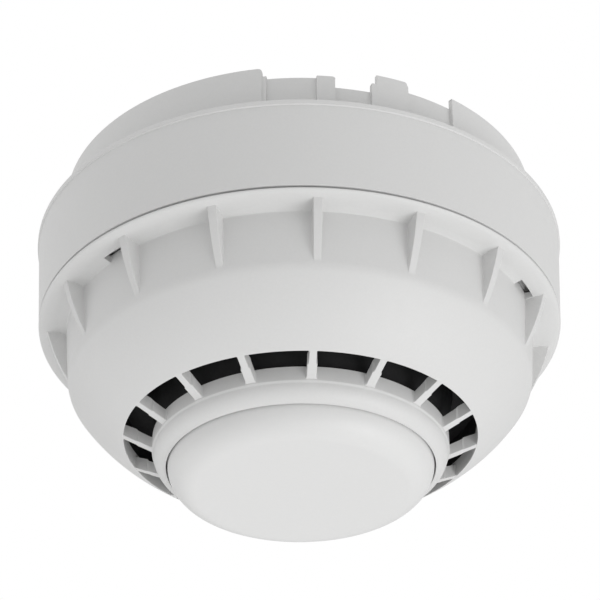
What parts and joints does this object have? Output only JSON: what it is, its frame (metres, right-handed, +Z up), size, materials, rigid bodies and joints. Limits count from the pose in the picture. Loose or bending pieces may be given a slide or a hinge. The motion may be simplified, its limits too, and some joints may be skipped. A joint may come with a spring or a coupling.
{
  "type": "heat detector",
  "caption": "Round ceiling heat detector: castellated mounting base, twist-off head with ribbed bowl cover, ring of vents round a shallow round cap, sensing thermistor and boards inside.",
  "frame": {"origin": "centre of the fixing-slot pattern on the ceiling face of the mounting base, on the detector's axis", "axes": "+Z up into the ceiling along the detector's axis; -Y towards the notched side of the base's skirt; +X to the right when looking along +Y"},
  "size_m": [0.12, 0.12, 0.0742],
  "materials": {
    "housing_white": "fine spark-eroded texture, matt",
    "cap_white": "smooth matt, slightly translucent",
    "shroud_black": "matt black moulded",
    "tinned_brass": "tinned, satin",
    "zinc_steel": "bright zinc plate",
    "board_green": "solder resist over glass laminate",
    "chip_black": "moulded epoxy",
    "can_steel": "drawn can, satin",
    "capacitor_sleeve": "shrink sleeve",
    "ferrite": "sintered ferrite",
    "ceramic_tan": "ceramic chip",
    "switch_blue": "moulded nylon",
    "dial_white": "moulded acetal",
    "connector_ivory": "moulded nylon",
    "ribbon_grey": "flat flexible cable",
    "seal_foam": "closed-cell foam",
    "led_red": "tinted epoxy",
    "bead_black": "dipped epoxy"
  },
  "bodies": {
    "base": {"mounting_base": "housing_white", "terminal_spring_1": "tinned_brass", "terminal_spring_2": "tinned_brass", "terminal_spring_3": "tinned_brass", "terminal_spring_4": "tinned_brass"},
    "clamp_1": {"clamp_plate_1": "zinc_steel"},
    "clamp_2": {"clamp_plate_2": "zinc_steel"},
    "clamp_3": {"clamp_plate_3": "zinc_steel"},
    "clamp_4": {"clamp_plate_4": "zinc_steel"},
    "screw_1": {"terminal_screw_1": "zinc_steel"},
    "screw_2": {"terminal_screw_2": "zinc_steel"},
    "screw_3": {"terminal_screw_3": "zinc_steel"},
    "screw_4": {"terminal_screw_4": "zinc_steel"},
    "head": {"rear_body": "housing_white", "lock_collar": "housing_white", "outer_band": "housing_white", "front_cover": "housing_white", "vent_fins": "housing_white", "cap_ring": "housing_white", "indicator_cap": "cap_white", "contact_plate_1": "tinned_brass", "contact_plate_2": "tinned_brass", "contact_plate_3": "tinned_brass", "contact_plate_4": "tinned_brass", "main_board": "board_green", "board_screws": "zinc_steel", "microcontroller": "chip_black", "isolator_chip": "chip_black", "line_rectifier": "chip_black", "storage_capacitor": "capacitor_sleeve", "choke": "ferrite", "crystal": "can_steel", "chip_resistors": "chip_black", "chip_capacitors": "ceramic_tan", "switch_housing_tens": "switch_blue", "switch_housing_units": "switch_blue", "main_connector": "connector_ivory", "ribbon_cable": "ribbon_grey", "board_connector": "connector_ivory", "air_shroud": "shroud_black", "shroud_drum": "shroud_black", "shroud_apron": "shroud_black", "draught_seal": "seal_foam", "shroud_screws": "zinc_steel", "sensor_board": "board_green", "sensor_board_screws": "zinc_steel", "alarm_leds": "led_red", "reference_thermistor": "bead_black", "sensing_thermistor": "bead_black", "thermistor_leads": "zinc_steel", "thermistor_bush": "seal_foam"},
    "dial_tens": {"address_dial_tens": "dial_white"},
    "dial_units": {"address_dial_units": "dial_white"}
  },
  "joints": [
    {"name": "head_twist", "type": "hinge", "parent": "base", "child": "head", "pos_m": [0, 0, 0], "axis": [0, 0, -1], "range_deg": [0, 20]},
    {"name": "clamp_1_travel", "type": "slide", "parent": "base", "child": "clamp_1", "axis": [0, 0, 1], "range_m": [-0.0012, 0.0008]},
    {"name": "screw_1_turn", "type": "hinge", "parent": "clamp_1", "child": "screw_1", "pos_m": [0.02334, -0.02334, 0], "axis": [0, 0, 1], "range_deg": [-865, 577]},
    {"name": "clamp_2_travel", "type": "slide", "parent": "base", "child": "clamp_2", "axis": [0, 0, 1], "range_m": [-0.0012, 0.0008]},
    {"name": "screw_2_turn", "type": "hinge", "parent": "clamp_2", "child": "screw_2", "pos_m": [0.02334, 0.02334, 0], "axis": [0, 0, 1], "range_deg": [-865, 577]},
    {"name": "clamp_3_travel", "type": "slide", "parent": "base", "child": "clamp_3", "axis": [0, 0, 1], "range_m": [-0.0012, 0.0008]},
    {"name": "screw_3_turn", "type": "hinge", "parent": "clamp_3", "child": "screw_3", "pos_m": [-0.02334, 0.02334, 0], "axis": [0, 0, 1], "range_deg": [-865, 577]},
    {"name": "clamp_4_travel", "type": "slide", "parent": "base", "child": "clamp_4", "axis": [0, 0, 1], "range_m": [-0.0012, 0.0008]},
    {"name": "screw_4_turn", "type": "hinge", "parent": "clamp_4", "child": "screw_4", "pos_m": [-0.02334, -0.02334, 0], "axis": [0, 0, 1], "range_deg": [-865, 577]},
    {"name": "dial_tens_turn", "type": "hinge", "parent": "head", "child": "dial_tens", "pos_m": [-0.008, 0, 0], "axis": [0, 0, 1], "continuous": true},
    {"name": "dial_units_turn", "type": "hinge", "parent": "head", "child": "dial_units", "pos_m": [0.008, 0, 0], "axis": [0, 0, 1], "continuous": true}
  ],
  "couplings": [
    {"joint": "screw_1_turn", "follows": "clamp_1_travel", "rad_per_m": 12566},
    {"joint": "screw_2_turn", "follows": "clamp_2_travel", "rad_per_m": 12566},
    {"joint": "screw_3_turn", "follows": "clamp_3_travel", "rad_per_m": 12566},
    {"joint": "screw_4_turn", "follows": "clamp_4_travel", "rad_per_m": 12566}
  ]
}
